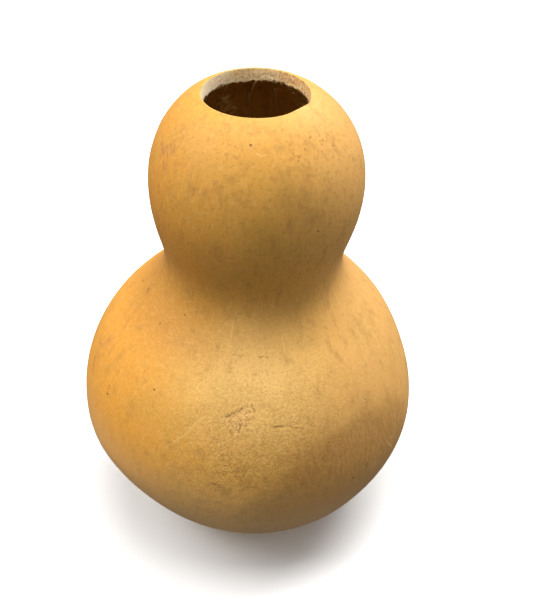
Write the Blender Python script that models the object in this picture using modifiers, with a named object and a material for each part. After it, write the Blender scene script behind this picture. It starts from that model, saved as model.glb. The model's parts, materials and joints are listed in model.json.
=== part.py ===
"""Dried bottle gourd: a hollow shell of two lobes, with a round mouth cut into its top.

Units are metres and +Z is up. The origin is on the surface that the gourd stands on,
below the middle of its widest ring. The viewer looks along +Y, with +X to the right.
"""
import math

import bmesh
import bpy

NAME = "gourd"

# Outline: the rings, as radius and height, that the smooth curve of the outside is drawn
# towards. It passes a little inside the wide ones and a little outside the narrow one.
STEM_PLACE = (0.0120, 0.2579)
CROWN = (0.0267, 0.2579)
HEAD_SHOULDER = (0.0488, 0.2405)
HEAD = (0.0558, 0.2095)
HEAD_UNDERSIDE = (0.0517, 0.1836)
NECK = (0.0405, 0.1536)
BELLY_SHOULDER = (0.0773, 0.1263)
BELLY = (0.0965, 0.0745)
FLANK = (0.0855, 0.0421)
FOOT_EDGE = (0.0556, 0.0)
FOOT_FLAT = (0.0180, 0.0)
FOOT_CORE = (0.0060, 0.0)
FOOT_MIDDLE = (0.0, 0.0)

# The curve's order, rings of faces for each stretch of it, faces round one ring, and how near
# two points are when they count as one
CUBIC = 4
RINGS = 3
FACES_ROUND = 64
SAME_POINT = 0.00005

# Thickness of the shell, all over
WALL = 0.0058

# Growth: foot, neck and head stand to the right of a line through the belly, and the crown
# nods back a little
BOW = 0.0065
BOW_HEIGHT = 0.0970
BOW_REACH = 0.0590
BELLY_SHIFT = 0.0012
NOD = 0.0013
NOD_HEIGHT = 0.2220

# Growth: how far the rings are from round, as shares of their radius
OVAL = 0.005
OVAL_TURN = math.radians(55)
THREE_SIDED = 0.003
THREE_SIDED_TURN = math.radians(20)

# Growth: a low swelling on the left of the belly, towards the viewer
SWELLING = 0.0008
SWELLING_TURN = math.radians(-156)
SWELLING_WIDTH = math.radians(28)
SWELLING_HEIGHT = 0.0670
SWELLING_REACH = 0.0100

# Mouth: nearly round, cut straight down by hand, a little narrower at the bottom of the cut
MOUTH_RADIUS = 0.0255
MOUTH_OVAL = 0.0005
MOUTH_ACROSS = 0.0051
MOUTH_HEIGHT = 0.2549
MOUTH_TAPER = 0.12
CUT_DEPTH = 0.015
CUT_ABOVE = 0.011

# Mouth: where the cut ran straight for a moment, and the corner that it then left
FLAT_TURN = math.radians(-40)
FLAT_WIDTH = math.radians(14)
FLAT_DEPTH = 0.0005
CORNER_TURN = math.radians(-17)
CORNER_WIDTH = math.radians(9)
CORNER_DEPTH = 0.0006

SKIN_COLOR = (0.66, 0.36, 0.1, 1.0)
SKIN_ROUGHNESS = 0.45
SHARP_FROM = math.radians(40)


def clear_scene():
    for thing in list(bpy.data.objects):
        bpy.data.objects.remove(thing, do_unlink=True)


def new_collection(name):
    group = bpy.data.collections.new(name)
    bpy.context.scene.collection.children.link(group)
    return group


def add_object(name, mesh, group):
    thing = bpy.data.objects.new(name, mesh)
    group.objects.link(thing)
    return thing


def bow(height):
    """How far the middle of a ring stands to the right at a height."""
    leant = BOW * (1.0 - math.exp(-((height - BOW_HEIGHT) / BOW_REACH) ** 2)) - BELLY_SHIFT
    risen = max(0.0, height - NOD_HEIGHT) / (CROWN[1] - NOD_HEIGHT)
    return leant - NOD * risen ** 2


def bump(value, middle, reach):
    """A smooth bump of height 1 about a middle value."""
    return math.exp(-((value - middle) / reach) ** 2)


def turn_from(turn, middle):
    """The turn left to go from a middle direction, between minus and plus half a round."""
    return math.remainder(turn - middle, 2.0 * math.pi)


def grow_unevenly(mesh):
    """Makes the turned rings uneven, and sets each on the bowed middle."""
    for vertex in mesh.vertices:
        turn = math.atan2(vertex.co.y, vertex.co.x)
        radius = math.hypot(vertex.co.x, vertex.co.y)
        oval = OVAL * math.cos(2.0 * (turn - OVAL_TURN))
        three_sided = THREE_SIDED * math.cos(3.0 * (turn - THREE_SIDED_TURN))
        swelling = SWELLING * bump(turn_from(turn, SWELLING_TURN), 0.0, SWELLING_WIDTH)
        swelling *= bump(vertex.co.z, SWELLING_HEIGHT, SWELLING_REACH)
        reach = radius * (1.0 + oval + three_sided) + swelling
        vertex.co.x = reach * math.cos(turn) + bow(vertex.co.z)
        vertex.co.y = reach * math.sin(turn)


def apply_modifiers(thing):
    """Gives the object the mesh that its modifiers make, and removes them."""
    graph = bpy.context.evaluated_depsgraph_get()
    made = bpy.data.meshes.new_from_object(thing.evaluated_get(graph))
    thing.modifiers.clear()
    thing.data = made


def outline_curve():
    """The outside from the stem's place down to the middle of the foot, right of the axis."""
    rings = [STEM_PLACE, CROWN, HEAD_SHOULDER, HEAD, HEAD_UNDERSIDE, NECK, BELLY_SHOULDER,
             BELLY, FLANK, FOOT_EDGE, FOOT_FLAT, FOOT_CORE, FOOT_MIDDLE]
    curve = bpy.data.curves.new(NAME, "CURVE")
    curve.dimensions = "3D"
    spline = curve.splines.new("NURBS")
    spline.points.add(len(rings) - 1)
    for point, (radius, height) in zip(spline.points, rings):
        point.co = (radius, 0.0, height, 1.0)
    spline.order_u = CUBIC
    spline.use_endpoint_u = True
    spline.resolution_u = RINGS
    return curve


def turned_skin(group):
    """The outside of the shell as one open surface, turned from the outline."""
    skin = add_object(NAME, outline_curve(), group)
    screw = skin.modifiers.new("turn", "SCREW")
    screw.axis = "Z"
    screw.steps = FACES_ROUND
    screw.render_steps = FACES_ROUND
    screw.use_merge_vertices = True
    screw.merge_threshold = SAME_POINT
    graph = bpy.context.evaluated_depsgraph_get()
    turned = bpy.data.meshes.new_from_object(skin.evaluated_get(graph))
    bpy.data.objects.remove(skin)
    grow_unevenly(turned)
    return add_object(NAME, turned, group)


def add_wall(skin):
    """Gives the skin its thickness, inwards."""
    solidify = skin.modifiers.new("wall", "SOLIDIFY")
    solidify.thickness = WALL
    solidify.offset = -1.0
    solidify.use_even_offset = True


def mouth_reach(turn, height):
    """How far the cut is from the mouth's middle, at a turn and a height."""
    reach = MOUTH_RADIUS + MOUTH_OVAL * math.cos(2.0 * turn)
    reach -= FLAT_DEPTH * bump(turn_from(turn, FLAT_TURN), 0.0, FLAT_WIDTH)
    reach += CORNER_DEPTH * bump(turn_from(turn, CORNER_TURN), 0.0, CORNER_WIDTH)
    return reach + MOUTH_TAPER * (height - MOUTH_HEIGHT)


def mouth_plug(group):
    """What the saw takes out: a cylinder shaped to the mouth's outline."""
    shape = bmesh.new()
    bmesh.ops.create_cone(shape, cap_ends=True, segments=FACES_ROUND, radius1=1.0, radius2=1.0,
                          depth=CUT_DEPTH + CUT_ABOVE)
    middle = MOUTH_HEIGHT + (CUT_ABOVE - CUT_DEPTH) / 2.0
    for vertex in shape.verts:
        height = vertex.co.z + middle
        turn = math.atan2(vertex.co.y, vertex.co.x) + math.pi / FACES_ROUND
        reach = mouth_reach(turn, height)
        across = reach * math.cos(turn) + MOUTH_ACROSS
        vertex.co = (across, reach * math.sin(turn), height)
    mesh = bpy.data.meshes.new("mouth_plug")
    shape.to_mesh(mesh)
    shape.free()
    plug = add_object("mouth_plug", mesh, group)
    plug.hide_render = True
    plug.display_type = "WIRE"
    return plug


def cut_mouth(shell, plug):
    """Takes the plug out of the shell."""
    cut = shell.modifiers.new("mouth", "BOOLEAN")
    cut.operation = "DIFFERENCE"
    cut.solver = "EXACT"
    cut.object = plug


def skin_material():
    material = bpy.data.materials.new("dried_gourd")
    material.use_nodes = True
    shader = material.node_tree.nodes["Principled BSDF"]
    shader.inputs["Base Color"].default_value = SKIN_COLOR
    shader.inputs["Roughness"].default_value = SKIN_ROUGHNESS
    shader.inputs["Metallic"].default_value = 0.0
    return material


def build():
    clear_scene()
    parts = new_collection("dried_bottle_gourd")
    cutters = new_collection("cutters")
    gourd = turned_skin(parts)
    gourd.data.shade_smooth()
    gourd.data.materials.append(skin_material())
    add_wall(gourd)
    cut_mouth(gourd, mouth_plug(cutters))
    apply_modifiers(gourd)
    gourd.data.set_sharp_from_angle(angle=SHARP_FROM)


build()
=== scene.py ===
# %% [markdown]
# # A dried bottle gourd, opened at the top
#
# A bottle gourd is a fruit. As it dries, its wall turns into a light, hard shell, here with a
# small lobe over a large one. Someone has cut a round mouth straight down into the top, so
# three surfaces show: the smooth, waxy skin, the pale and spongy cut, and the dark lining
# with its dried strands.
#
# The lesson starts from a measured solid model of this gourd. It gives the size and the
# place, and it is kept for physics. Here it gets a finer mesh and its real surfaces.
# Everything is in metres, +Z is up, the gourd stands at height zero, and the viewer looks
# along +Y with +X to the right.

# %% Load the measured model
import json
import math
import random
from functools import reduce

import bmesh
import bpy
import numpy as np
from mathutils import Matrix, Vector, noise

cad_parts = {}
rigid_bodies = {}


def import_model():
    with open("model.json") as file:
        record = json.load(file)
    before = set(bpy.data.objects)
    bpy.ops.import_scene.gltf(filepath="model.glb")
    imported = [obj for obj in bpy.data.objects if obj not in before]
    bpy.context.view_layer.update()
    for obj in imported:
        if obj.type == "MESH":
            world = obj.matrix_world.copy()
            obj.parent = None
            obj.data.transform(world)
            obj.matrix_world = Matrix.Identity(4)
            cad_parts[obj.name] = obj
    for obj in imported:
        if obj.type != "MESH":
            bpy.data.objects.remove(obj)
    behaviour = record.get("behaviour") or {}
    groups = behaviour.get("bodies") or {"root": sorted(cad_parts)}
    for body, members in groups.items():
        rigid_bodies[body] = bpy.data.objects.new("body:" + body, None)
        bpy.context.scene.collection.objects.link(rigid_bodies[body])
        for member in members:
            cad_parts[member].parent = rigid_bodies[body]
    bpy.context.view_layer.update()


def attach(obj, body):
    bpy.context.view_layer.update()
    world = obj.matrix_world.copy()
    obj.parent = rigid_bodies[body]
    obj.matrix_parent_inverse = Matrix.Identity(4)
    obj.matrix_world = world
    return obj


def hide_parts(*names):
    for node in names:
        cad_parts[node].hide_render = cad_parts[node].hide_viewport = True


for thing in list(bpy.data.objects):
    bpy.data.objects.remove(thing, do_unlink=True)
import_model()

# %% [markdown]
# ## Stand where the viewer stood
#
# A picture only matches from the same place. The viewer stood 60 cm from the gourd and looked
# down at it by about 38 degrees, so the widest rings show as ovals and the mouth shows its far
# wall. The camera could be set by eye. Here its place and focal length come from fitting the
# gourd's outline.

# %% Place the camera
AIM = Vector((0.01009, 0.0, 0.13068))
VIEW_DISTANCE = 0.600
LOOKING_DOWN = math.radians(38.48)
SENSOR_HEIGHT = 24.0
FOCAL_LENGTH = 44.52
NEAREST_SEEN = 0.01


def add_object(name, data):
    """Puts a new object into the scene."""
    thing = bpy.data.objects.new(name, data)
    bpy.context.scene.collection.objects.link(thing)
    return thing


lens = bpy.data.cameras.new("viewer")
lens.sensor_fit = "VERTICAL"
lens.sensor_height = SENSOR_HEIGHT
lens.lens = FOCAL_LENGTH
lens.clip_start = NEAREST_SEEN
viewer = add_object("viewer", lens)
back = Vector((0.0, -math.cos(LOOKING_DOWN), math.sin(LOOKING_DOWN)))
viewer.location = AIM + VIEW_DISTANCE * back
viewer.rotation_euler = (math.pi / 2 - LOOKING_DOWN, 0.0, 0.0)
bpy.context.scene.camera = viewer
print("viewer stands at", [round(side, 3) for side in viewer.location])

# %% [markdown]
# ## Draw the outline of the fruit
#
# Half of the gourd's outline, turned round an upright line, gives the whole fruit. A traced
# line always has a few corners, and a fruit has none. A NURBS curve needs only one point for
# each place where the outline changes its mind: crown, shoulder, head, neck, belly and foot. It
# runs smoothly between them, and can be read as finely as the mesh needs.

# %% Draw the outline
# Radius and height of the rings that the outline is drawn towards, from the stem down to the foot
OUTLINE = [
    (0.0120, 0.2579),
    (0.0267, 0.2579),
    (0.0488, 0.2405),
    (0.0558, 0.2095),
    (0.0517, 0.1836),
    (0.0405, 0.1536),
    (0.0773, 0.1263),
    (0.0965, 0.0745),
    (0.0855, 0.0421),
    (0.0556, 0.0),
    (0.0180, 0.0),
    (0.0060, 0.0),
    (0.0, 0.0),
]
CUBIC = 4
FINENESS = 60


def drawn(rings):
    """The smooth line that a gourd's rings give, as its radii and heights from the top down."""
    curve = bpy.data.curves.new("outline", "CURVE")
    curve.dimensions = "3D"
    line = curve.splines.new("NURBS")
    line.points.add(len(rings) - 1)
    for point, (radius, height) in zip(line.points, rings):
        point.co = (radius, 0.0, height, 1.0)
    line.order_u = CUBIC
    line.use_endpoint_u = True
    line.resolution_u = FINENESS
    holder = bpy.data.objects.new("outline", curve)
    points = np.array([vertex.co[:] for vertex in holder.to_mesh().vertices])
    bpy.data.objects.remove(holder)
    bpy.data.curves.remove(curve)
    return points[:, 0], points[:, 2]


skin_line = drawn(OUTLINE)
print("outline points:", len(skin_line[0]))
print("widest radius in mm:", round(1000 * skin_line[0].max(), 1))

# %% [markdown]
# ## Set the lining inside the skin
#
# The wall is a little under 6 mm thick all over. The lining is the outline pushed in by that
# much, square to the skin at every point. Scaling the outline down would be quicker, but it
# would leave the wall thick at the crown and thin at the neck.

# %% Draw the lining
WALL = 0.0058


def pushed_in(line, depth):
    """A line set back by a depth, square to itself, towards the inside of the gourd."""
    radii, heights = line
    across, down = np.gradient(radii), np.gradient(heights)
    length = np.hypot(across, down)
    inner = np.maximum(radii + depth * down / length, 0.0)
    inner[-1] = 0.0
    return inner, heights - depth * across / length


lining_line = pushed_in(skin_line, WALL)
print("lining stands on the floor of the shell at mm:", round(1000 * lining_line[1][-1], 1))

# %% [markdown]
# ## Let it grow unevenly
#
# No fruit is truly round. This one bows to the right above the belly, its crown nods, its rings
# are slightly oval and three-sided, and a low swelling is on the left of the belly. A lattice
# could bend it by hand. Small sums are used instead, the same ones as for the solid, so that
# the two surfaces lie on each other.

# %% Describe the growth
BOW = 0.0065
BOW_HEIGHT = 0.0970
BOW_REACH = 0.0590
BELLY_SHIFT = 0.0012
NOD = 0.0013
NOD_HEIGHT = 0.2220
CROWN_HEIGHT = OUTLINE[0][1]
OVAL = 0.005
OVAL_TURN = math.radians(55)
THREE_SIDED = 0.003
THREE_SIDED_TURN = math.radians(20)
SWELLING = 0.0008
SWELLING_TURN = math.radians(-156)
SWELLING_WIDTH = math.radians(28)
SWELLING_HEIGHT = 0.0670
SWELLING_REACH = 0.0100


def bump(distance, reach):
    """A smooth bump of height 1 that fades out over a reach."""
    return math.exp(-((distance / reach) ** 2))


def turn_from(turn, middle):
    """The turn from a middle direction, between minus and plus half a round."""
    return math.remainder(turn - middle, 2.0 * math.pi)


def bow(height):
    """How far the middle of a ring stands to the right at a height."""
    leant = BOW * (1.0 - bump(height - BOW_HEIGHT, BOW_REACH)) - BELLY_SHIFT
    risen = max(0.0, height - NOD_HEIGHT) / (CROWN_HEIGHT - NOD_HEIGHT)
    return leant - NOD * risen**2


def unevenness(turn):
    """A ring's radius in a direction, as a share of its true radius."""
    oval = OVAL * math.cos(2.0 * (turn - OVAL_TURN))
    return 1.0 + oval + THREE_SIDED * math.cos(3.0 * (turn - THREE_SIDED_TURN))


def grown(radius, height, turn):
    """Where a point of a true ring stands on the real gourd."""
    swelling = SWELLING * bump(turn_from(turn, SWELLING_TURN), SWELLING_WIDTH)
    swelling *= bump(height - SWELLING_HEIGHT, SWELLING_REACH)
    reach = radius * unevenness(turn) + swelling
    return Vector((reach * math.cos(turn) + bow(height), reach * math.sin(turn), height))


print("the head's middle stands", round(1000 * bow(0.21), 1), "mm to the right")

# %% [markdown]
# ## Find the edge of the mouth
#
# The mouth was sawn straight down by hand. It is nearly round, with one place on the right
# where the saw ran straight and then left a corner, and it narrows a little on its way down. A
# Boolean with a cylinder would cut it, but it leaves slivers that spoil the shading. Here the
# edge is worked out: where the saw's path meets the skin above, and the lining below. The rings
# of the mesh are then laid along it.

# %% Describe the mouth
MOUTH_RADIUS = 0.0255
MOUTH_OVAL = 0.0005
MOUTH_ACROSS = 0.0051
MOUTH_HEIGHT = 0.2549
MOUTH_TAPER = 0.12
FLAT_TURN = math.radians(-40)
FLAT_WIDTH = math.radians(14)
FLAT_DEPTH = 0.0005
CORNER_TURN = math.radians(-17)
CORNER_WIDTH = math.radians(9)
CORNER_DEPTH = 0.0006
HEAD_ABOVE = 0.17
STEPS_TO_SETTLE = 5


def crown_of(line):
    """The part of a line above the head's widest ring, from its radii to its heights."""
    radii, heights = line
    widest = int(np.argmax(np.where(heights > HEAD_ABOVE, radii, 0.0)))
    return radii[:widest], heights[:widest]


def height_over(crown, across, away):
    """How high a crown stands over a point."""
    height = MOUTH_HEIGHT
    for _ in range(STEPS_TO_SETTLE):
        turn = math.atan2(away, across - bow(height))
        radius = math.hypot(across - bow(height), away) / unevenness(turn)
        height = float(np.interp(radius, *crown))
    return height


def saw_path(turn, height):
    """Where the saw passed, in a direction from the mouth's middle and at a height."""
    reach = MOUTH_RADIUS + MOUTH_OVAL * math.cos(2.0 * turn)
    reach -= FLAT_DEPTH * bump(turn_from(turn, FLAT_TURN), FLAT_WIDTH)
    reach += CORNER_DEPTH * bump(turn_from(turn, CORNER_TURN), CORNER_WIDTH)
    reach += MOUTH_TAPER * (height - MOUTH_HEIGHT)
    return Vector((reach * math.cos(turn) + MOUTH_ACROSS, reach * math.sin(turn), height))


def mouth_edge(crown, turn):
    """Where the saw's path meets a crown, in a direction from the mouth's middle."""
    edge = saw_path(turn, MOUTH_HEIGHT)
    for _ in range(STEPS_TO_SETTLE):
        edge = saw_path(turn, height_over(crown, edge.x, edge.y))
    return edge


skin_crown, lining_crown = crown_of(skin_line), crown_of(lining_line)
rim, lip = mouth_edge(skin_crown, 0.0), mouth_edge(lining_crown, 0.0)
CUT_HEIGHT = rim.z - lip.z
print("the cut is", round(1000 * CUT_HEIGHT, 1), "mm high on the right")

# %% [markdown]
# ## Choose the rings
#
# The mesh is one long profile, turned: up the skin from the foot to the rim, down the cut, and
# down the lining to the floor of the shell. Rings lie close together near the rim, where the
# eye looks for crispness. Even rings would waste faces on the belly or starve the mouth.

# %% Choose the rings
SKIN_STEPS = (0.0005, 0.00185)
LINING_STEPS = (0.0006, 0.0038)
STEP_GROWTH = 1.16
CUT_ROWS = 20
SKIN, CUT, LINING = range(3)


def growing_steps(length, fine, coarse):
    """Distances along a length, close together at its start."""
    steps = [fine]
    while sum(steps) < length:
        steps.append(min(steps[-1] * STEP_GROWTH, coarse))
    return np.concatenate([[0.0], np.cumsum(steps)]) * length / sum(steps)


def rings_below(line, first_radius, steps):
    """Rings of (distance, radius, height), from where a line has a radius down to its end."""
    along = np.concatenate([[0.0], np.cumsum(np.hypot(*np.diff(line, axis=1)))])
    crown_radii, _ = crown_of(line)
    start = float(np.interp(first_radius, crown_radii, along[: len(crown_radii)]))
    places = growing_steps(along[-1] - start, *steps)
    radii, heights = (np.interp(start + places, along, side) for side in line)
    return list(zip(places.tolist(), radii.tolist(), heights.tolist()))


skin_rings = rings_below(skin_line, math.hypot(rim.x - MOUTH_ACROSS, rim.y), SKIN_STEPS)
lining_rings = rings_below(lining_line, math.hypot(lip.x - MOUTH_ACROSS, lip.y), LINING_STEPS)
print(len(skin_rings), "rings of skin,", CUT_ROWS, "of the cut,", len(lining_rings), "of lining")

# %% [markdown]
# ## Turn the shell
#
# The profile is a row of vertices joined by edges. The spin operator carries it round the
# upright axis and leaves faces behind it. Both ends of the profile lie on the axis, where every
# step leaves a copy of the same point, so the doubles are merged before the faces are turned
# outwards. A Screw modifier would turn it too, but here each vertex keeps the number of its
# ring, which the next steps use to find the rim, the cut and the lining again.

# %% Turn the shell
ROUND = 320
SAME_POINT = 0.000001


def turned_shell(profile):
    """A closed mesh turned from rings of (kind, distance or share, radius, height)."""
    shell = bmesh.new()
    ring = shell.verts.layers.int.new("ring")
    points = []
    for number, (_, _, radius, height) in enumerate(profile):
        points.append(shell.verts.new((radius, 0.0, height)))
        points[-1][ring] = number
    edges = [shell.edges.new(pair) for pair in zip(points, points[1:])]
    bmesh.ops.spin(shell, geom=points + edges, axis=(0, 0, 1), angle=2.0 * math.pi,
                   steps=ROUND, use_merge=True)
    bmesh.ops.remove_doubles(shell, verts=shell.verts, dist=SAME_POINT)
    bmesh.ops.recalc_face_normals(shell, faces=shell.faces)
    return shell, ring


profile = [(SKIN, far, radius, height) for far, radius, height in reversed(skin_rings)]
profile += [(CUT, row / CUT_ROWS, MOUTH_RADIUS, MOUTH_HEIGHT - WALL * row / CUT_ROWS)
            for row in range(1, CUT_ROWS)]
profile += [(LINING, far, radius, height) for far, radius, height in lining_rings]
shell, ring = turned_shell(profile)
print("turned", len(shell.verts), "vertices and", len(shell.faces), "faces")

# %% [markdown]
# ## Lay the rings on the real gourd
#
# Every vertex now goes from its true ring to its real place. Low down that is only the growth.
# Near the mouth the ring also slides over to the saw's path, fading out over a finger's width,
# while its height always comes from the skin, so that the crown keeps its own curve.

# %% Lay the rings on the gourd
FINGER = 0.014


def faded(share):
    """1 at a share of 0 and 0 from a share of 1 on, smoothly."""
    share = min(max(share, 0.0), 1.0)
    return 1.0 - share * share * (3.0 - 2.0 * share)


def laid(rings, crown, far, radius, height, turn):
    """A point of the skin or the lining, drawn over to the mouth where it is near it."""
    place = grown(radius, height, turn)
    if far < FINGER:
        edge, first = mouth_edge(crown, turn), grown(rings[0][1], rings[0][2], turn)
        place += faded(far / FINGER) * Vector((edge.x - first.x, edge.y - first.y, 0.0))
        place.z = height_over(crown, place.x, place.y)
    return place


def real_place(kind, share, radius, height, turn):
    """Where a point of the turned shell stands on the real gourd."""
    if kind == SKIN:
        return laid(skin_rings, skin_crown, share, radius, height, turn)
    if kind == LINING:
        return laid(lining_rings, lining_crown, share, radius, height, turn)
    return mouth_edge(skin_crown, turn).lerp(mouth_edge(lining_crown, turn), share)


from_rim = shell.verts.layers.float.new("from_rim")
for vertex in shell.verts:
    kind, share, radius, height = profile[vertex[ring]]
    vertex.co = real_place(kind, share, radius, height, math.atan2(vertex.co.y, vertex.co.x))
    vertex[from_rim] = {SKIN: share, CUT: share * CUT_HEIGHT, LINING: share + CUT_HEIGHT}[kind]
shell.normal_update()
print("shell laid out,", round(1000 * max(v.co.z for v in shell.verts), 1), "mm high")

# %% [markdown]
# ## Give the skin its scar
#
# On the front of the belly the skin healed over a scrape: a patch the size of a thumbnail with
# a rough crust, and a short split beside it. A bump map would only shade them. They are low,
# but real, so the mesh is first made finer there, by cutting each edge in three.

# %% Make the mesh finer at the scar
SCAR = Vector((-0.0030, -0.0780, 0.1168))
SCAR_REACH = 0.0135
SPLIT = Vector((0.0180, -0.0780, 0.1120))
SPLIT_REACH = 0.0090


def kind_of(vertex):
    """Which of the three surfaces a vertex belongs to."""
    return profile[vertex[ring]][0]


def near_wound(edge):
    """True where the scar or the split reaches the middle of an edge."""
    middle = (edge.verts[0].co + edge.verts[1].co) / 2
    return (middle - SCAR).length < SCAR_REACH or (middle - SPLIT).length < SPLIT_REACH


wounded = [edge for edge in shell.edges
           if all(kind_of(vertex) == SKIN for vertex in edge.verts) and near_wound(edge)]
bmesh.ops.subdivide_edges(shell, edges=wounded, cuts=2, use_grid_fill=True)
print("cut", len(wounded), "edges in three at the scar")

# %% [markdown]
# ## Shape the surfaces
#
# Each surface moves along its own normal by a small sum of noise. The skin gets long, low
# waves, the crust of the scar, and a shallow dimple under the foot where the blossom was. The
# cut gets the pits of dried sponge, deeper towards the inside, and a ragged lip that sags at
# the back. The lining gets the lengthwise folds of a wall that shrank as it dried. A Displace
# modifier could do one of these, but not three on one mesh.

# %% Shape the surfaces
WAVE, WAVE_SIZE = 0.00022, 0.045
DENT, DENT_SIZE = 0.00010, 0.014
CRUST, CRUST_SIZE, CRUST_SUNK = 0.00042, 0.0030, 0.25
SPLIT_DEPTH, SPLIT_WIDTH, SPLIT_SLOPE = 0.00018, 0.0007, 0.10
WANDER, WANDER_SIZE = 0.0006, 0.004
SPONGE, SPONGE_SIZE, SPONGE_PROUD = 0.00042, 0.0016, 0.0001
PORE, PORE_SIZE = 0.00022, 0.0006
RIM_EATEN, RIM_KEPT = 0.15, 0.30
CLEAN_LEFT, CLEAN_REACH, CLEANNESS = -0.0110, 0.0060, 0.75
FOOT_STILL, FOOT_FLAT = 0.004, 0.001
DIMPLE, DIMPLE_REACH = 0.0006, 0.0060
LIP, LIP_SIZE, LIP_REACH = 0.0009, 0.0030, 0.0055
FRAY, FRAY_SIZE = 0.0008, 0.0012
SAG, SAG_TURN, SAG_WIDTH = 0.0012, math.radians(106), math.radians(14)
LIP_TILT = 0.3
FOLD, FOLD_TURNS, FOLD_HEIGHT = 0.0009, 6.0, 0.060
CREASE, CREASE_TURNS = 0.0005, 17.0


def rough(place, size):
    """Noise between about -1 and 1 whose bumps are a size across."""
    return noise.noise(place / size)


def folded(place, turns, height):
    """Noise that runs lengthwise, with about as many folds to the round as turns says."""
    turn = math.atan2(place.y, place.x - bow(place.z))
    return noise.noise(Vector((turns * math.cos(turn), turns * math.sin(turn), place.z / height)))


def skin_relief(place):
    """How far the skin stands out at a place."""
    out = WAVE * rough(place, WAVE_SIZE) + DENT * rough(place, DENT_SIZE)
    lumps = abs(rough(place, CRUST_SIZE)) - CRUST_SUNK + 0.5 * rough(place, CRUST_SIZE / 2)
    out += CRUST * lumps * faded((place - SCAR).length / SCAR_REACH)
    away = place - SPLIT
    wander = WANDER * rough(Vector((place.x, 0.0, 0.0)), WANDER_SIZE)
    split = bump(away.z + SPLIT_SLOPE * away.x + wander, SPLIT_WIDTH)
    return out - SPLIT_DEPTH * split * faded(abs(away.x) / SPLIT_REACH)


def cut_relief(place, share):
    """How far the cut is eaten away at a place, more towards its lower edge and its right."""
    eaten = SPONGE * (0.5 + rough(place, SPONGE_SIZE)) + PORE * rough(place, PORE_SIZE)
    deepening = (RIM_EATEN + (1.0 - RIM_EATEN) * share) * (1.0 - bump(share, RIM_KEPT))
    clean = CLEANNESS * faded((place.x - CLEAN_LEFT) / CLEAN_REACH)
    return -max(eaten, -SPONGE_PROUD) * deepening * (1.0 - clean)


def lining_relief(place):
    """How far the lining stands into the shell at a place."""
    folds = FOLD * folded(place, FOLD_TURNS, FOLD_HEIGHT)
    return folds + CREASE * folded(place, CREASE_TURNS, FOLD_HEIGHT)


def lip_rise(turn):
    """How far the lip stands up or hangs down in a direction from the mouth's middle."""
    around = Vector((math.cos(turn), math.sin(turn), LIP_TILT)) * MOUTH_RADIUS
    rise = LIP * rough(around, LIP_SIZE) + FRAY * rough(around, FRAY_SIZE)
    return rise - SAG * bump(turn_from(turn, SAG_TURN), SAG_WIDTH)


moves = {}
for vertex in shell.verts:
    kind, share, radius, height = profile[vertex[ring]]
    turn = math.atan2(vertex.co.y, vertex.co.x - MOUTH_ACROSS)
    if kind == SKIN:
        move = vertex.normal * skin_relief(vertex.co) * (1.0 - bump(height, FOOT_STILL))
        move.z += DIMPLE * bump(radius, DIMPLE_REACH) * bump(height, FOOT_FLAT)
    elif kind == CUT:
        move = vertex.normal * cut_relief(vertex.co, share)
        move.z += lip_rise(turn) * share**3
    else:
        move = vertex.normal * lining_relief(vertex.co) * (1.0 - bump(share, LIP_REACH))
        move.z += lip_rise(turn) * faded(share / LIP_REACH)
    moves[vertex] = move
for vertex, move in moves.items():
    vertex.co += move
print("largest move in mm:", round(1000 * max(move.length for move in moves.values()), 2))

# %% [markdown]
# ## Name the faces and soften the rim
#
# Three finishes meet on one closed shell, so each face is told which it takes. Then the rim
# gets a very small bevel. A saw leaves a sharp edge, but it is soon rubbed, and the rubbed edge
# shows as a thin pale line round the mouth. A Bevel modifier would soften every edge, so the
# operator is given only the rim.

# %% Name the faces and soften the rim
RIM_ROUND = 0.00025

for face in shell.faces:
    kinds = {kind_of(vertex) for vertex in face.verts}
    face.material_index = kinds.pop() if len(kinds) == 1 else CUT
    face.smooth = True
top = len(skin_rings) - 1
rim_edges = [edge for edge in shell.edges if all(vertex[ring] == top for vertex in edge.verts)]
softened = bmesh.ops.bevel(shell, geom=rim_edges, offset=RIM_ROUND, offset_type="OFFSET",
                           segments=2, profile=0.5, affect="EDGES", material=-1)
for face in softened["faces"]:
    face.material_index = SKIN
    face.smooth = True
mesh = bpy.data.meshes.new("gourd_shell")
shell.to_mesh(mesh)
shell.free()
mesh.attributes.remove(mesh.attributes["ring"])
gourd = add_object("gourd_shell", mesh)
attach(gourd, "root")
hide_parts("gourd")
print("rim edges softened:", len(rim_edges))
print("triangles:", sum(len(face.vertices) - 2 for face in mesh.polygons))

# %% [markdown]
# ## Hang the strands
#
# Veins of the fruit stay behind as stiff strands when the pulp is scraped out. They are thinner
# than the faces of the shell, so each is a curve with a round section that follows the lining.
# Painted lines would be flat, and a strand catches the light on its round side. Only a few show
# from the front, and the others stand where veins would be, about as far apart.

# %% Hang the strands
# Turn in degrees, how far below the lip it starts and ends, how far it drifts on the way, and
# its thickness in millimetres
STRANDS = [
    (115.5, 0.0090, 0.070, -0.5, 0.30),
    (117.6, 0.0260, 0.060, 0.8, 0.22),
    (95.0, 0.0235, 0.095, 1.6, 0.68),
    (76.3, 0.0180, 0.080, 1.5, 0.55),
    (61.0, 0.0160, 0.045, -1.2, 0.34),
    (38.0, 0.0060, 0.090, 2.0, 0.34),
    (12.0, 0.0110, 0.075, -3.0, 0.40),
    (-14.0, 0.0040, 0.100, 1.0, 0.30),
    (-39.0, 0.0150, 0.060, 2.5, 0.36),
    (-68.0, 0.0070, 0.110, -2.0, 0.32),
    (-97.0, 0.0120, 0.085, 3.0, 0.42),
    (-126.0, 0.0050, 0.095, -1.0, 0.30),
    (-153.0, 0.0140, 0.070, 2.0, 0.34),
    (176.0, 0.0080, 0.100, -2.5, 0.38),
    (146.0, 0.0050, 0.080, 1.0, 0.32),
]
STRAND_POINTS = 12
STRAND_WANDER = 0.5
STRAND_PROUD = 0.0003
STRAND_TAPER = 0.6
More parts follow.
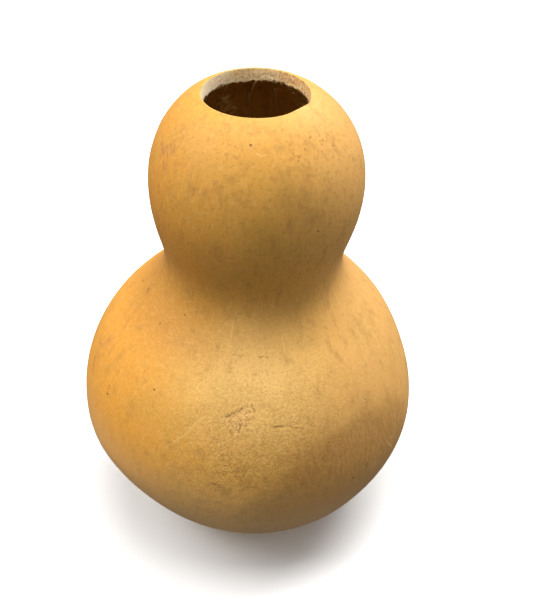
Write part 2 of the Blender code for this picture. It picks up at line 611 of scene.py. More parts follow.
STRAND_UNEVEN = (0.7, 1.1)
STRAND_SEED = 7

lining_along, lining_radii, lining_heights = zip(*lining_rings)
strand_curve = bpy.data.curves.new("strands", "CURVE")
strand_curve.dimensions = "3D"
strand_curve.bevel_depth = 1.0
strand_curve.bevel_resolution = 1
strand_curve.use_fill_caps = True


def on_lining(far, turn, proud):
    """A point at a distance below the lip, standing proud of the lining."""
    radius = float(np.interp(far, lining_along, lining_radii))
    height = float(np.interp(far, lining_along, lining_heights))
    place = laid(lining_rings, lining_crown, far, radius, height, turn)
    inward = Vector((bow(height) - place.x, -place.y, 0.0)).normalized()
    return place + inward * proud


def add_strand(points, thicknesses):
    """Adds one smooth strand along points, as thick as is said at each."""
    strand = strand_curve.splines.new("NURBS")
    strand.points.add(len(points) - 1)
    for made, point, thickness in zip(strand.points, points, thicknesses):
        made.co = (*point, 1.0)
        made.radius = thickness
    strand.order_u = 3
    strand.use_endpoint_u = True
    strand.resolution_u = 3


drawing = random.Random(STRAND_SEED)
for degrees, start, end, drift, thickness in STRANDS:
    points, thicknesses = [], []
    for step in range(STRAND_POINTS):
        share = step / (STRAND_POINTS - 1)
        wander = drawing.uniform(-STRAND_WANDER, STRAND_WANDER)
        turn = math.radians(degrees + drift * share + wander)
        proud = drawing.uniform(0.0, STRAND_PROUD)
        points.append(on_lining(start + share * (end - start), turn, proud))
        left = thickness / 1000.0 * (1.0 - STRAND_TAPER * share)
        thicknesses.append(left * drawing.uniform(*STRAND_UNEVEN))
    add_strand(points, thicknesses)
print("strands on the lining:", len(strand_curve.splines))

# %% [markdown]
# ## Leave the torn ends
#
# Where the saw left the wall, it pulled fibres out instead of cutting them, so the lip has a
# fringe of short ends, like a torn cloth. There are hundreds, so each has only three points and
# a few faces. A hair system would grow them over whole faces, and these belong to one thin
# edge. One long strand has come loose there. It hangs from the lip and bends back to the
# lining.

# %% Leave the torn ends
TORN_ENDS = 620
TORN_LENGTH = (0.0004, 0.0015)
TORN_THICKNESS = 0.00011
TORN_STEP = 0.0012
TORN_ROOT = 0.0003
TORN_INWARD = (0.2, 1.0)
TORN_DOWNWARD = 1.3
TORN_BEND = 0.2
TORN_TIP = 0.4
# The loose strand: distance below the lip, turn in degrees, how far it stands off, thickness
LOOSE = [
    (0.0000, 88.6, -0.0003, 0.00030),
    (0.0012, 88.9, 0.0012, 0.00034),
    (0.0040, 90.6, 0.0027, 0.00038),
    (0.0080, 92.0, 0.0036, 0.00044),
    (0.0130, 92.9, 0.0035, 0.00050),
    (0.0190, 93.7, 0.0018, 0.00056),
    (0.0240, 94.4, 0.0006, 0.00062),
    (0.0290, 95.0, 0.0001, 0.00064),
]
loose = [on_lining(far, math.radians(degrees), proud) for far, degrees, proud, _ in LOOSE]
add_strand(loose, [thickness for _, _, _, thickness in LOOSE])
for _ in range(TORN_ENDS):
    turn = drawing.uniform(0.0, 2.0 * math.pi)
    root = on_lining(drawing.uniform(0.0, TORN_STEP), turn, -TORN_ROOT)
    inward = Vector((bow(root.z) - root.x, -root.y, 0.0)).normalized()
    side = Vector((-inward.y, inward.x, 0.0))
    way = side * drawing.uniform(-1.0, 1.0) + inward * drawing.uniform(*TORN_INWARD)
    way.z = -drawing.uniform(0.0, TORN_DOWNWARD)
    length = drawing.uniform(*TORN_LENGTH)
    tip = root + way.normalized() * length
    bend = root.lerp(tip, 0.5) + Vector((0.0, 0.0, TORN_BEND * length))
    add_strand([root, bend, tip], [TORN_THICKNESS, TORN_THICKNESS, TORN_TIP * TORN_THICKNESS])
holder = bpy.data.objects.new("strands", strand_curve)
strand_mesh = bpy.data.meshes.new_from_object(holder)
strand_mesh.name = "strands"
strand_mesh.shade_smooth()
bpy.data.objects.remove(holder)
strands = add_object("strands", strand_mesh)
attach(strands, "root")
print("torn ends:", TORN_ENDS, "faces of all strands:", len(strand_mesh.polygons))

# %% [markdown]
# ## A class for paint
#
# A material is a net of nodes, and even a sum of three masks is a dozen clicks. The class below
# wraps one socket, so that `1 - mask` or `a * b` adds its Math node by itself. Every other node
# comes from one method, which takes the node's type, its settings, and what goes into its
# sockets. Colours are mixed with their own node, because a Math node would turn them grey.

# %% Write sums of paint
class Paint:
    """A value, a colour or a place in a material."""

    def __init__(self, socket):
        self.socket = socket

    def node(self, kind, settings, sockets, output=0):
        """A new node in the same material, as the paint that comes out of it."""
        tree = self.socket.id_data
        made = tree.nodes.new(kind)
        for name, value in settings.items():
            setattr(made, name, value)
        for name, value in sockets.items():
            if isinstance(value, Paint):
                tree.links.new(value.socket, made.inputs[name])
            else:
                made.inputs[name].default_value = value
        return Paint(made.outputs[output])

    def math(self, operation, first, second):
        """One sum of two values, either of which may be a plain number."""
        return self.node("ShaderNodeMath", {"operation": operation}, {0: first, 1: second})

    def __add__(self, other):
        return self.math("ADD", self, other)

    def __sub__(self, other):
        return self.math("SUBTRACT", self, other)

    def __rsub__(self, other):
        return self.math("SUBTRACT", other, self)

    def __mul__(self, other):
        return self.math("MULTIPLY", self, other)

    __radd__ = __add__
    __rmul__ = __mul__

    def most(self, other):
        """The larger of two values."""
        return self.math("MAXIMUM", self, other)


def vector(operation, where, other, output=0):
    """A sum on places."""
    settings = {"operation": operation}
    return where.node("ShaderNodeVectorMath", settings, {0: where, 1: other}, output)


def drawn_out(where, share):
    """The places with their heights shrunk, so that noise on them runs up and down the fruit."""
    return vector("MULTIPLY", where, (1.0, 1.0, share))


def cloud(where, size, detail=2.0, output="Fac"):
    """Soft noise whose clouds are a size across, between 0 and 1."""
    sockets = {"Vector": where, "Scale": 1.0 / size, "Detail": detail}
    return where.node("ShaderNodeTexNoise", {}, sockets, output)


def ramp(value, start, end):
    """0 at a start and 1 at an end, smoothly between them. It never leaves that range, so it
    needs no clamp, and without one it takes far less room in the renderer."""
    settings = {"interpolation_type": "SMOOTHSTEP", "clamp": False}
    sockets = {"Value": value, "From Min": start, "From Max": end}
    return value.node("ShaderNodeMapRange", settings, sockets, "Result")


def coat(under, over, how_much):
    """One colour laid over another, as strongly as a value says."""
    sockets = {0: how_much, 6: under, 7: over}
    return how_much.node("ShaderNodeMix", {"data_type": "RGBA"}, sockets, 2)


def painted(color, coats):
    """A colour under coats of paint: for each, its own colour and how strongly it covers."""
    for over, how_much in coats:
        color = coat(color, over, how_much)
    return color


def side_of(where, axis):
    """One coordinate of the places: X, Y or Z."""
    return where.node("ShaderNodeSeparateXYZ", {}, {"Vector": where}, axis)


def wavy(where, size, sway):
    """The places, each moved by up to a sway, so that a round mark gets an uneven edge."""
    drift = vector("SUBTRACT", cloud(where, size, output="Color"), (0.5, 0.5, 0.5))
    return vector("ADD", where, vector("MULTIPLY", drift, (2.0 * sway, 2.0 * sway, 2.0 * sway)))


def blot(where, middle, reach, softness):
    """A mark: 1 inside, and 0 from its reach on. Softness is the share that fades."""
    return ramp(vector("DISTANCE", where, middle, "Value"), reach, reach * (1.0 - softness))


def strewn(where, spacing, size):
    """Small round marks, one in each cell of a spacing."""
    sockets = {"Vector": where, "Scale": 1.0 / spacing}
    far = where.node("ShaderNodeTexVoronoi", {}, sockets, "Distance")
    return ramp(far, size / spacing, 0.3 * size / spacing)


def scratch(where, start, end, outward, width):
    """A thin line between two places. It lies in the plane of both and the way out of the
    surface, so it follows the surface however that is curved."""
    middle, length = (start + end) / 2, (end - start).length
    aside = (end - start).cross(outward).normalized()
    off = vector("DOT_PRODUCT", vector("SUBTRACT", where, middle), aside, "Value")
    return ramp(off * off, width * width, 0.0) * blot(where, middle, 0.6 * length, 0.4)


def new_finish(name):
    """A new material: itself, its shader, and the places on the surface."""
    finish = bpy.data.materials.new(name)
    finish.use_nodes = True
    tree = finish.node_tree
    where = Paint(tree.nodes.new("ShaderNodeTexCoord").outputs["Object"])
    return finish, tree.nodes["Principled BSDF"], where


def apply_paint(shader, name, paint):
    """Lets paint flow into one of the shader's sockets."""
    shader.id_data.links.new(paint.socket, shader.inputs[name])


def set_values(shader, values):
    """Sets what is the same all over a surface on the shader itself."""
    for name, value in values.items():
        shader.inputs[name].default_value = value


def relief(height):
    """The surface's direction for a height in millimetres."""
    return height.node("ShaderNodeBump", {}, {"Height": height, "Distance": 0.001}, "Normal")


print("paint has", len([name for name in dir(Paint) if not name.startswith("__")]), "named methods")

# %% [markdown]
# ## Read the skin in several ways
#
# A picture wrapped round the gourd would stretch at the poles. Noise reads the place in space
# instead, so it has no seam. The places are read at several sizes: broad clouds, smudges and
# streaks drawn out along the fruit, spots, grain, and hairs, which are the fibres of the rind.
# Four readings are of places that have been swayed a little, so that a round mark laid on them
# gets an uneven edge. Each mark is moved onto the real surface first, because one that floats
# beside it would be cut thin.

# %% Read the skin in several ways
skin, skin_shader, where = new_finish("gourd_skin")
bpy.context.view_layer.update()


def skin_at(across, away, up):
    """The point of the skin nearest to a place in millimetres, and the way out of it."""
    place = Vector((across, away, up)) / 1000.0
    _, point, outward, _ = gourd.closest_point_on_mesh(place)
    return point, outward


def marks_of(where, marks, softness):
    """All of a list of marks together."""
    return reduce(Paint.most, [blot(where, skin_at(*place)[0], reach / 1000.0, softness)
                               for *place, reach in marks])


lengthwise = drawn_out(where, 0.35)
broad = cloud(where, 0.030)
smudge = cloud(lengthwise, 0.0055, 3.0)
streak = cloud(lengthwise, 0.0016)
grain = cloud(where, 0.0011, 3.0)
spots = cloud(where, 0.0022)
hairs = cloud(drawn_out(where, 0.06), 0.0005, 1.0)
cross_hairs = cloud(vector("MULTIPLY", where, (0.10, 0.10, 1.0)), 0.0005, 1.0)
billowing = wavy(where, 0.014, 0.008)
ragged = wavy(where, 0.0045, 0.0032)
crooked = wavy(where, 0.0025, 0.0013)
uneven = wavy(where, 0.0020, 0.0005)
print("the skin is read with", len(skin.node_tree.nodes), "nodes")

# %% [markdown]
# ## The ground colour of the skin
#
# A dried gourd has the colour of honey, and it is never even. This one is more orange on the
# left and tan on the right. Some light is painted in too: a paler patch on the belly's top front
# is a painted highlight, the neck is darker and more russet as painted shade under the head, the
# lower right is darker, partly browner skin and partly painted shade, and the foot is lighter and
# greyer, partly scuffs and partly a painted reflection of the pale floor. Masks from 0 to 1 come
# first, and then the coats of paint, broad ones under fine ones. Vertex colours would be
# quicker, but no finer than the mesh.

# %% Mix the ground colour of the skin
ORANGE = (0.735, 0.318, 0.038, 1.0)
GOLDEN = (0.73, 0.365, 0.062, 1.0)
TAN = (0.79, 0.425, 0.120, 1.0)
BROWN = (0.36, 0.170, 0.044, 1.0)
OLIVE = (0.42, 0.245, 0.040, 1.0)
PALE = (0.92, 0.575, 0.190, 1.0)
WARM_BROWN = (0.52, 0.270, 0.070, 1.0)
RUSSET = (0.50, 0.205, 0.022, 1.0)
# The grey of scuffs and of the floor's painted reflection
SCUFF_AND_REFLECTION = (0.92, 0.620, 0.320, 1.0)
# The darker lower right of the belly: partly browner skin, partly painted shade where it turns from
# the light
DARK_AND_SHADED_SIDE, DARK_AND_SHADED_REACH = (0.054, -0.068, 0.046), 0.070
# A paler patch on the belly's top front, painted as a highlight
HIGHLIGHT_FRONT, HIGHLIGHT_REACH = (0.004, -0.064, 0.128), 0.052
LOW_FRONT, LOW_REACH = (-0.004, -0.090, 0.074), 0.060
# Across, away and up in millimetres, and reach
BUMPY = [(8, -75, 98, 80), (-20, 80, 85, 50)]
SCUFFS = [
    (77, -47, 71, 9), (66, -62, 67, 10), (81, -39, 78, 8), (56, -70, 62, 9),
    (-60, 62, 60, 9),
]

up = side_of(where, "Z")
sideways = side_of(where, "X") + 0.03 * (broad - 0.5)
head = ramp(up, 0.155, 0.190)
# The neck band under the head, darkened below as painted shade
neck = ramp(up, 0.128, 0.150) * ramp(up, 0.220, 0.172) * ramp(sideways, 0.050, 0.010)
shaded_neck_band = ramp(up, 0.124, 0.145) * ramp(up, 0.220, 0.190)
# Band above the foot, made lighter and greyer as a painted reflection of the pale floor
foot_reflection = ramp(up + 0.15 * sideways, 0.092, 0.042)
painted_highlight = blot(where, HIGHLIGHT_FRONT, HIGHLIGHT_REACH, 0.9)
dark_skin_and_shade = blot(billowing, DARK_AND_SHADED_SIDE, DARK_AND_SHADED_REACH, 0.30)
blotchy = blot(where, LOW_FRONT, LOW_REACH, 1.0) * ramp(cloud(ragged, 0.0040, 3.0), 0.49, 0.62)
bumpy = marks_of(billowing, BUMPY, 0.9)
wrinkles = cloud(crooked, 0.0010)
scuffs = marks_of(ragged, SCUFFS, 1.0) * ramp(cloud(where, 0.0017), 0.44, 0.58)
color = painted(ORANGE, [
    (GOLDEN, ramp(sideways - 0.016 * head, -0.070, -0.018)),
    (TAN, ramp(sideways, 0.005, 0.060)),
    # Painted highlight on the belly's top front
    (PALE, 0.85 * painted_highlight),
    (OLIVE, 0.28 * ramp(broad, 0.50, 0.75)),
    # The head a shade browner, and the neck darker as painted shade under the head
    (BROWN, head * (0.10 + 0.07 * ramp(sideways, 0.03, -0.03)) + 0.30 * neck),
    # Russet on the left of the neck band: painted shade under the head
    (RUSSET, 0.35 * shaded_neck_band * ramp(sideways, 0.0, -0.025)),
    (BROWN, 0.10 * (1.0 - head) * ramp(sideways, 0.030, 0.070)),
    (BROWN, 0.36 * ramp(smudge, 0.50, 0.76)),
    (BROWN, 0.16 * ramp(streak, 0.50, 0.80)),
    (PALE, (0.22 - 0.16 * shaded_neck_band) * ramp(streak, 0.48, 0.22)),
    (BROWN, (0.10 + 0.20 * head) * ramp(spots, 0.56, 0.67)),
    (WARM_BROWN, (0.14 + 0.34 * bumpy) * ramp(grain, 0.50, 0.70)),
    (PALE, (0.12 + 0.50 * bumpy) * ramp(grain, 0.48, 0.28)),
    (PALE, 0.22 * (1.0 - head) * ramp(hairs.most(cross_hairs - 0.02), 0.58, 0.68)),
    (WARM_BROWN, 0.44 * bumpy * ramp(wrinkles, 0.52, 0.66)),
    (PALE, 0.50 * bumpy * ramp(wrinkles, 0.46, 0.34)),
    # Lower right of the belly darker: browner skin and painted shade
    (BROWN, dark_skin_and_shade * (0.52 + 0.22 * ramp(streak, 0.35, 0.75))),
    (BROWN, 0.38 * blotchy),
    # Lighter and greyer low down: a painted reflection of the floor, with real scuffs among it
    (SCUFF_AND_REFLECTION, (0.50 * foot_reflection).most(0.26 * scuffs) * (0.6 + 0.4 * ramp(streak, 0.35, 0.60))),
])
print("ground colour mixed with", len(skin.node_tree.nodes), "nodes")

# %% [markdown]
# ## Marks of growing and handling
#
# What makes it one gourd and not any gourd is its marks: pits where an insect sat, brown
# smudges where it touched the ground, and purplish stains, most of them on the left. They could
# be painted by hand on an unwrapped picture. Here each is a blot round a point of the skin, so
# the lists can be read and changed.

# %% Place the marks
# Across, away and up in millimetres, and reach
PITS = [
    (3, -37, 248, 1), (30, -28, 247, 0.6), (-46, -60, 120, 0.8), (-44, -34, 142, 0.8),
    (-35, -26, 167, 0.8), (-31, -38, 151, 0.7), (61, -54, 108, 0.6), (55, -72, 69, 0.9),
    (34, -45, 207, 0.8), (-45, -18, 211, 0.6), (-48, -11, 149, 0.7), (16, -46, 170, 0.7),
    (-16, -90, 83, 0.8), (41, -75, 98, 0.6), (-73, -45, 103, 0.9), (-56, 3, 141, 0.9),
    (-72, -43, 107, 0.6),
]
SMUDGES = [
    (-8, -27, 253, 4), (5, -31, 252, 4), (11, -31, 252, 3), (1, -44, 240, 3.4),
    (-6, -46, 236, 3), (16, -43, 239, 3.8), (14, -45, 236, 3.2), (29, -39, 237, 3.4),
    (36, -41, 222, 4), (-24, -41, 229, 4.4), (-17, -45, 229, 4), (20, -49, 227, 8),
    (7, -54, 208, 3.4), (15, -53, 199, 3.6), (-8, -46, 158, 4), (-38, -78, 100, 4.4),
    (-51, -75, 90, 4), (-42, -79, 92, 4), (-23, -84, 100, 4.6), (32, -86, 70, 3.6),
    (-2, -50, 228, 7), (30, -46, 215, 7), (17, 46, 232, 7), (-30, 36, 235, 5),
    (44, 28, 221, 4.4), (-60, 56, 118, 7), (22, 84, 95, 8), (66, 55, 104, 5),
    (-20, 82, 100, 4.6), (-76, 44, 88, 6), (48, 72, 62, 7), (80, 30, 110, 4),
    (-12, -49, 226, 2.4), (-28, -34, 235, 2), (-32, -25, 239, 2), (26, -45, 230, 2.4),
    (39, -38, 225, 3), (25, -48, 223, 5), (21, -34, 247, 2), (-14, -40, 240, 2),
    (-7, -40, 243, 2), (7, -47, 235, 2), (1, -51, 226, 3), (31, -46, 219, 2.8),
    (-56, -52, 120, 2), (-67, -42, 116, 1.8), (27, -77, 108, 2), (36, -77, 99, 2.2),
    (44, -76, 90, 2.5), (8, -91, 66, 2.6), (18, -90, 66, 3), (32, -85, 69, 2.2),
    (-1, -88, 95, 2.5), (20, -83, 101, 2.4), (-12, -90, 81, 2.8), (8, -86, 100, 2),
    (54, -33, 136, 2), (45, -47, 134, 2.2), (-33, -48, 140, 2),
]
STAINS = [
    (-38, -19, 235, 7.5), (-33, -23, 239, 6), (-37, -26, 230, 6), (-77, -19, 115, 6),
    (-81, -21, 108, 7), (-83, -21, 102, 7), (-72, -21, 121, 5), (40, 58, 130, 8),
    (-50, 8, 222, 7),
]

mottled = 0.35 + 0.65 * ramp(cloud(lengthwise, 0.0018), 0.36, 0.62)
pits = marks_of(uneven, PITS, 0.7)
smudges = marks_of(ragged, SMUDGES, 1.0) * mottled
stains = marks_of(ragged, STAINS, 1.0) * mottled
print("marks placed:", len(PITS), "pits,", len(SMUDGES), "smudges,", len(STAINS), "stains")

# %% [markdown]
# ## Scratches, the scar and the speckles
#
# A scratch that only broke the wax is pale, and one that filled with dirt is dark. Both are
# short and straight, so a helper asks how far a place is from the plane that cuts the skin
# there. Wider ones are the streaks of the stains and the soft creases of skin that shrank. The
# scar is a crust, and the skin below it crumbled. Swarms of speckles are what a mould leaves
# behind. Curves on the skin could draw the lines, but they would stand proud of it.

# %% Draw the scratches, the scar and the speckles
# Start and end in millimetres across, away and up, and width
PALE_SCRATCHES = [
    ((-5.5, -46.5, 160), (-8.5, -55.5, 143), 0.25),
    ((44.5, -23, 157.5), (48.5, -25.5, 147), 0.34), ((76.5, -17.5, 114), (86, -10.5, 93), 0.34),
    ((-12.5, -61, 138), (-13.5, -64.5, 133.5), 0.2), ((41.5, -27, 155), (45, -31, 144), 0.24),
    ((38.5, -30, 154), (41.5, -34.5, 145), 0.22), ((57, -30, 134.5), (62, -35, 124.5), 0.26),
    ((-2, -60, 139), (-4.5, -66, 131), 0.22), ((18, -50, 148), (19, -56, 139.5), 0.2),
    ((66, -44, 111), (70, -45, 102), 0.24), ((5.5, -39, 245.5), (8, -40.5, 244.5), 0.34),
    ((8, -40.5, 244.5), (10.5, -39.5, 245), 0.3), ((74, -52, 75.5), (78.5, -45, 63.5), 0.55),
    ((65.5, -23, 128.5), (70, -28.5, 119), 0.45), ((71, -56, 72.5), (70.5, -57, 69.5), 0.6),
    ((68.5, -59.5, 69), (68, -60.5, 66), 0.5), ((-52, 40, 141), (-62, 44, 128), 0.45),
    ((30, 70, 125), (26, 80, 112), 0.45),
]
DARK_SCRATCHES = [
    ((-7, -57.5, 141.5), (-1, -58, 141.5), 0.22), ((6, -58.5, 141), (12.5, -58, 140.5), 0.22),
    ((62.5, -65.5, 73), (61.5, -66.5, 68), 0.55), ((13.5, -78.5, 113), (18.5, -78, 112), 0.44),
    ((21, -77, 112), (29.5, -76, 108.5), 0.27), ((-10, -77, 117.5), (-4, -75.5, 120.5), 0.6),
    ((-4.5, -75.5, 120), (0.5, -73.5, 123), 0.55), ((-2.5, -78, 117), (-3.5, -81.5, 110.5), 0.6),
    ((2.5, -73.5, 123.5), (4.5, -76.5, 119), 0.45), ((-51.5, -7, 145.5), (-53, -11, 143), 0.95),
    ((-72, -43, 106.5), (-73.5, -44.5, 102), 0.6), ((71, -56.5, 70.5), (70, -58, 68), 0.4),
]
STREAKS = [
    ((-39.5, -13.5, 236.5), (-37.5, -22, 233.5), 1),
    ((-37.5, -22, 233.5), (-38, -26, 228.5), 1),
    ((-36, -19.5, 237.5), (-35.5, -24.5, 234), 1.2),
    ((-34, -20.5, 239.5), (-33.5, -25, 236.5), 1),
    ((-74.5, -20, 118), (-72, -19.5, 121.5), 1.3), ((-78.5, -18.5, 113), (-74.5, -20, 118), 1.6),
    ((-82.5, -23.5, 102), (-82.5, -15.5, 106.5), 1.5),
    ((-80, -9.5, 112.5), (-78.5, -18.5, 113), 1.2),
]
CREASES = [
    ((-20, -76, 117), (-31.5, -78.5, 105.5), 0.9), ((-30.5, -78, 106.5), (-41, -78, 96.5), 0.7),
    ((20, 80, 100), (34, 78, 92), 1.2),
]
RUBBLE = [(-13, -82, 106, 9), (-10, -87, 95, 11), (-14, -90, 84, 10), (-4, -89, 92, 9)]
SPECKLED = [
    (38, -24, 243, 9.5), (25, -36, 243, 6), (-4, -78, 117, 12), (-40, 30, 236, 7),
    (-6, -89, 90, 8),
]
SCAR_CRUST = [(-4, -79, 116, 6.5), (0, -76, 120, 4.5), (-9, -78, 117, 3.5)]


def scratches_of(where, lines):
    """All of a list of scratches together."""
    marks = []
    for start, end, width in lines:
        (first, outward), (last, _) = skin_at(*start), skin_at(*end)
        marks.append(scratch(where, first, last, outward, width / 1000.0))
    return reduce(Paint.most, marks)


broken = ramp(cloud(where, 0.0011), 0.40, 0.54)
pale_lines = scratches_of(uneven, PALE_SCRATCHES) * (0.4 + 0.6 * broken)
dark_lines = scratches_of(crooked, DARK_SCRATCHES) * broken
streaks = scratches_of(crooked, STREAKS) * mottled
patchy = ramp(cloud(where, 0.0030, 1.0), 0.42, 0.58)
speckles = strewn(uneven, 0.0016, 0.00085) * marks_of(where, SPECKLED, 0.6) * patchy
crust = marks_of(ragged, SCAR_CRUST, 0.6)
freckles = strewn(uneven, 0.0090, 0.00045) * ramp(cloud(where, 0.021, 1.0), 0.48, 0.60)
creases = scratches_of(crooked, CREASES) * (0.3 + 0.7 * broken)
rubble = marks_of(ragged, RUBBLE, 1.0)
tall = drawn_out(uneven, 0.6)
nicks = strewn(tall, 0.0034, 0.00042) * ramp(broad, 0.44, 0.62) * (1.0 - shaded_neck_band)
nicks = nicks.most(strewn(tall, 0.0021, 0.00070) * rubble)
crumbled = rubble * ramp(cloud(where, 0.0014), 0.53, 0.64)
print("lines:", len(PALE_SCRATCHES), "pale and", len(DARK_SCRATCHES), "dark")

# %% [markdown]
# ## Finish the skin
#
# Now the marks are laid over the ground colour, from the softest to the sharpest. The last one
# is the rim: paler partly because the saw and many hands have worn the skin, and partly as a
# painted highlight along its edge. It follows the mouth's edge, because each vertex carries its
# distance from the rim. The same marks also say how rough the skin is and how it stands up: pits
# are hollow, and a fine orange peel all over breaks up the highlight. Those are too small for the
# mesh, so they go through a Bump node.

# %% Finish the skin
STAIN = (0.36, 0.145, 0.070, 1.0)
PIT = (0.19, 0.080, 0.024, 1.0)
CRUSTED = (0.84, 0.480, 0.180, 1.0)
WORN_AND_LIT = (0.80, 0.520, 0.220, 1.0)
SKIN_GLOSS = 0.22


def rim_distance(where):
    """How far a place is from the rim of the mouth, as its vertices carry it."""
    return where.node("ShaderNodeAttribute", {"attribute_name": "from_rim"}, {}, "Fac")


# The rim: paler from wear, and a painted highlight along its edge
rim_wear_and_highlight = ramp(rim_distance(where), 0.0006, 0.0001)
crumbs = cloud(where, 0.0010, 1.0)
color = painted(color, [
    (BROWN, 0.40 * smudges),
    (STAIN, 0.26 * stains),
    (STAIN, 0.42 * streaks),
    (CRUSTED, 0.45 * crust),
    (BROWN, 0.60 * crust * ramp(crumbs, 0.55, 0.68)),
    (PALE, 0.55 * crust * ramp(crumbs, 0.45, 0.32)),
    (PIT, 0.55 * freckles),
    (WARM_BROWN, 0.55 * crumbled),
    (PALE, (0.45 * nicks).most(0.42 * creases)),
    (PIT, 0.52 * speckles),
    (PALE, 0.62 * pale_lines),
    (PIT, 0.62 * dark_lines),
    (PIT, 0.80 * pits),
    (WORN_AND_LIT, 0.28 * rim_wear_and_highlight),
])
apply_paint(skin_shader, "Base Color", color)
roughness = 0.52 + 0.10 * (smudge - 0.5) + 0.20 * crust + 0.15 * rim_wear_and_highlight + 0.06 * dark_skin_and_shade
apply_paint(skin_shader, "Roughness", roughness)
raised = 0.070 * cloud(where, 0.0013, 1.0) + (0.03 + 0.12 * bumpy) * grain + 0.03 * streak
raised = raised + 0.06 * creases
hollow = 0.16 * bumpy * wrinkles + 0.16 * crust * crumbs + 0.15 * crumbled
hollow = hollow + 0.25 * pits + 0.12 * dark_lines
apply_paint(skin_shader, "Normal", relief(raised - hollow))
set_values(skin_shader, {"Specular IOR Level": SKIN_GLOSS})
gourd.data.materials.append(skin)
print("skin finished with", len(skin.node_tree.nodes), "nodes")

# %% [markdown]
# ## The cut through the wall
#
# Under the skin the wall is like cork: pale, full of pores, and with fibres that run along the
# fruit, so the saw shows them as short upright strokes. On the left the cut is clean and almost
# cream. At the back it has turned greyer, and on the right it took the orange of the skin. A
# reddish line under the rim is the hard outer rind. Light goes a little way into such a sponge,
# so the finish scatters it under the surface. Without that, the cut looks like painted wood.

# %% Paint the cut
CREAM = (0.97, 0.80, 0.54, 1.0)
GREY_TAN = (0.93, 0.73, 0.39, 1.0)
ORANGE_TAN = (0.80, 0.46, 0.16, 1.0)
PORE_BROWN = (0.26, 0.15, 0.07, 1.0)
RIND_RED = (0.42, 0.15, 0.05, 1.0)

cut, cut_shader, where = new_finish("cut_wall")
depth = rim_distance(where)
across = side_of(where, "X")
swayed = across + 0.004 * (cloud(where, 0.004) - 0.5)
pores = cloud(where, 0.0011, 3.0)
fibres = cloud(drawn_out(where, 0.30), 0.0007)
rind = ramp(depth, 0.0013, 0.0005) * ramp(cloud(where, 0.0016), 0.42, 0.60)
color = painted(CREAM, [
    (GREY_TAN, ramp(swayed, -0.0090, -0.0055)),
    (ORANGE_TAN, ramp(swayed, 0.008, 0.026)),
    (PORE_BROWN, (0.10 + 0.30 * ramp(swayed, -0.016, 0.002)) * ramp(pores, 0.50, 0.66)),
    (CREAM, 0.60 * ramp(fibres, 0.50, 0.64)),
    (PORE_BROWN, 0.42 * ramp(cloud(where, 0.0008), 0.58, 0.70)),
    (RIND_RED, 0.65 * rind * ramp(across, 0.004, 0.018)),
    (PORE_BROWN, 0.42 * ramp(depth, 0.0050, 0.0068)),
])
apply_paint(cut_shader, "Base Color", color)
apply_paint(cut_shader, "Normal", relief(0.35 * pores + 0.18 * fibres))
set_values(cut_shader, {"Roughness": 0.92, "Specular IOR Level": 0.2, "Subsurface Weight": 0.35,
                        "Subsurface Scale": 0.003, "Subsurface Radius": (1.0, 0.75, 0.5)})
gourd.data.materials.append(cut)
print("cut finished with", len(cut.node_tree.nodes), "nodes")

# %% [markdown]
# ## The lining
#
# The inside is covered with a thin skin of dried pulp. It is brown, streaked lengthwise like
# the folds under it, lighter in the few places where it dried tight, and a few pale crumbs
# cling to it. It looks almost black from outside because so little light gets in, and it could
# be painted black. But its own colour is no darker than bark, and from above it must read as
# brown.

# %% Paint the lining
BARK = (0.44, 0.212, 0.022, 1.0)
LIGHT_BARK = (0.62, 0.400, 0.095, 1.0)
DEEP_BARK = (0.28, 0.120, 0.014, 1.0)
TIGHT = (0.80, 0.590, 0.240, 1.0)
# Across, away and up in millimetres, and reach
TIGHT_PLACES = [
    (-11.5, 40, 229.5, 8), (-9, 44, 222.5, 7), (30, 33, 226, 11), (-26, 22, 234, 9),
]
CRUMBS = [
    (22, 33.5, 239, 0.8), (23.5, 35, 236, 1.1), (21, 33, 241, 0.6), (25, 34, 236, 0.5),
    (-20, -36, 228, 0.7),
]

lining, lining_shader, where = new_finish("dried_lining")
sunken = cloud(where, 0.014)
folds = cloud(drawn_out(where, 0.22), 0.0035, 3.0)
tight = marks_of(wavy(where, 0.006, 0.003), TIGHT_PLACES, 1.0)
color = painted(BARK, [
    (LIGHT_BARK, 0.6 * ramp(folds, 0.52, 0.75)),
    (DEEP_BARK, 0.7 * ramp(sunken, 0.50, 0.70)),
    (TIGHT, tight * ramp(cloud(where, 0.0025), 0.38, 0.60)),
    (CREAM, 0.8 * marks_of(where, CRUMBS, 0.3)),
])
apply_paint(lining_shader, "Base Color", color)
apply_paint(lining_shader, "Roughness", 0.35 + 0.35 * sunken)
apply_paint(lining_shader, "Normal", relief(0.30 * folds + 0.08 * cloud(where, 0.0012)))
gourd.data.materials.append(lining)
print("lining finished with", len(lining.node_tree.nodes), "nodes")

# %% [markdown]
# ## The strands
#
# A dried fibre has the colour of straw at its torn end, and is brown lower down, where pulp
# dried on it. Two materials would need a border between them. Height is enough to tell the ends
# apart, because only the lip is that high.

# %% Paint the strands
STRAW = (0.80, 0.59, 0.32, 1.0)
PULP = (0.55, 0.340, 0.110, 1.0)

fibre, fibre_shader, where = new_finish("dry_fibre")
upper = ramp(side_of(where, "Z") + 0.004 * (cloud(where, 0.002) - 0.5), 0.229, 0.243)
apply_paint(fibre_shader, "Base Color", coat(PULP, STRAW, upper))
set_values(fibre_shader, {"Roughness": 0.75})
strands.data.materials.append(fibre)
print("strands finished with", len(fibre.node_tree.nodes), "nodes")

# %% [markdown]
# ## Floor and light
#
# The gourd stands on pale paper under a soft lamp straight above, with a stronger one behind it
# on the right and a third on the left, both halfway up. With a bright sky they give a bright
# crown, a shadow round the neck, and a belly that darkens towards its foot. One sun lamp would
# do that too, but with hard edges. White paper throws light back up and washes the darkness of
# the foot out, so the paper is seen but isn't allowed to light anything.

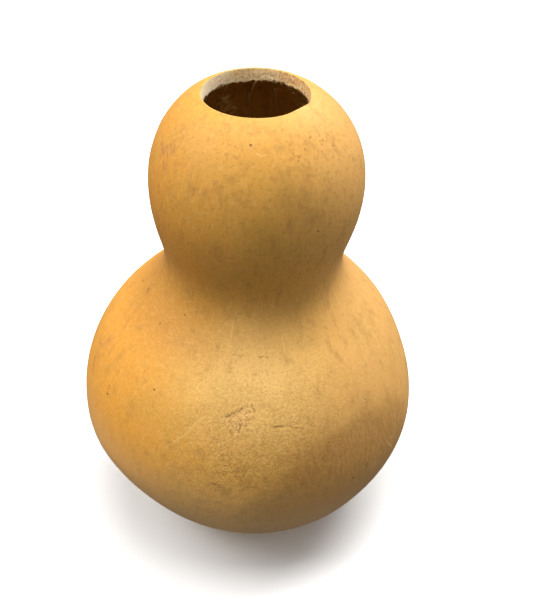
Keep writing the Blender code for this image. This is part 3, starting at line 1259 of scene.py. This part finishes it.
# %% Set the floor and the light
FLOOR_SIZE = 20.0
PAPER = (0.93, 0.93, 0.93, 1.0)
# Name, power, turn (0 is the viewer's side and 90 the right) and rise in degrees
LAMPS = [
    ("lamp_above", 63.0, 0.0, 90.0),
    ("lamp_behind", 85.0, 135.0, 45.0),
    ("lamp_left", 59.0, 270.0, 45.0),
]
LAMP_SIZE = 1.8
LAMP_DISTANCE = 3.0
SKY_STRENGTH = 0.46
GROUND_STRENGTH = 0.15
HORIZON = (-0.30, -0.04)

paper_shape = bmesh.new()
bmesh.ops.create_grid(paper_shape, x_segments=1, y_segments=1, size=FLOOR_SIZE / 2)
paper_mesh = bpy.data.meshes.new("paper_floor")
paper_shape.to_mesh(paper_mesh)
paper_shape.free()
floor = add_object("paper_floor", paper_mesh)
floor.visible_diffuse = False
floor.visible_glossy = False
paper, paper_shader, _ = new_finish("pale_paper")
set_values(paper_shader, {"Base Color": PAPER, "Roughness": 1.0})
floor.data.materials.append(paper)

for name, power, turn, rise in LAMPS:
    lamp = bpy.data.lights.new(name, "AREA")
    lamp.energy = power
    lamp.size = LAMP_SIZE
    turn, rise = math.radians(turn), math.radians(rise)
    level = math.cos(rise)
    away = Vector((math.sin(turn) * level, -math.cos(turn) * level, math.sin(rise)))
    box = add_object(name, lamp)
    box.location = AIM + LAMP_DISTANCE * away
    box.rotation_euler = (-away).to_track_quat("-Z", "Y").to_euler()

world = bpy.data.worlds.new("studio")
world.use_nodes = True
sky = world.node_tree.nodes["Background"]
direction = Paint(world.node_tree.nodes.new("ShaderNodeTexCoord").outputs["Generated"])
brightness = ramp(side_of(direction, "Z"), *HORIZON)
apply_paint(sky, "Strength", GROUND_STRENGTH + (SKY_STRENGTH - GROUND_STRENGTH) * brightness)
set_values(sky, {"Color": (1.0, 1.0, 1.0, 1.0)})
bpy.context.scene.world = world
bpy.context.scene.view_settings.view_transform = "Standard"

# %% [markdown]
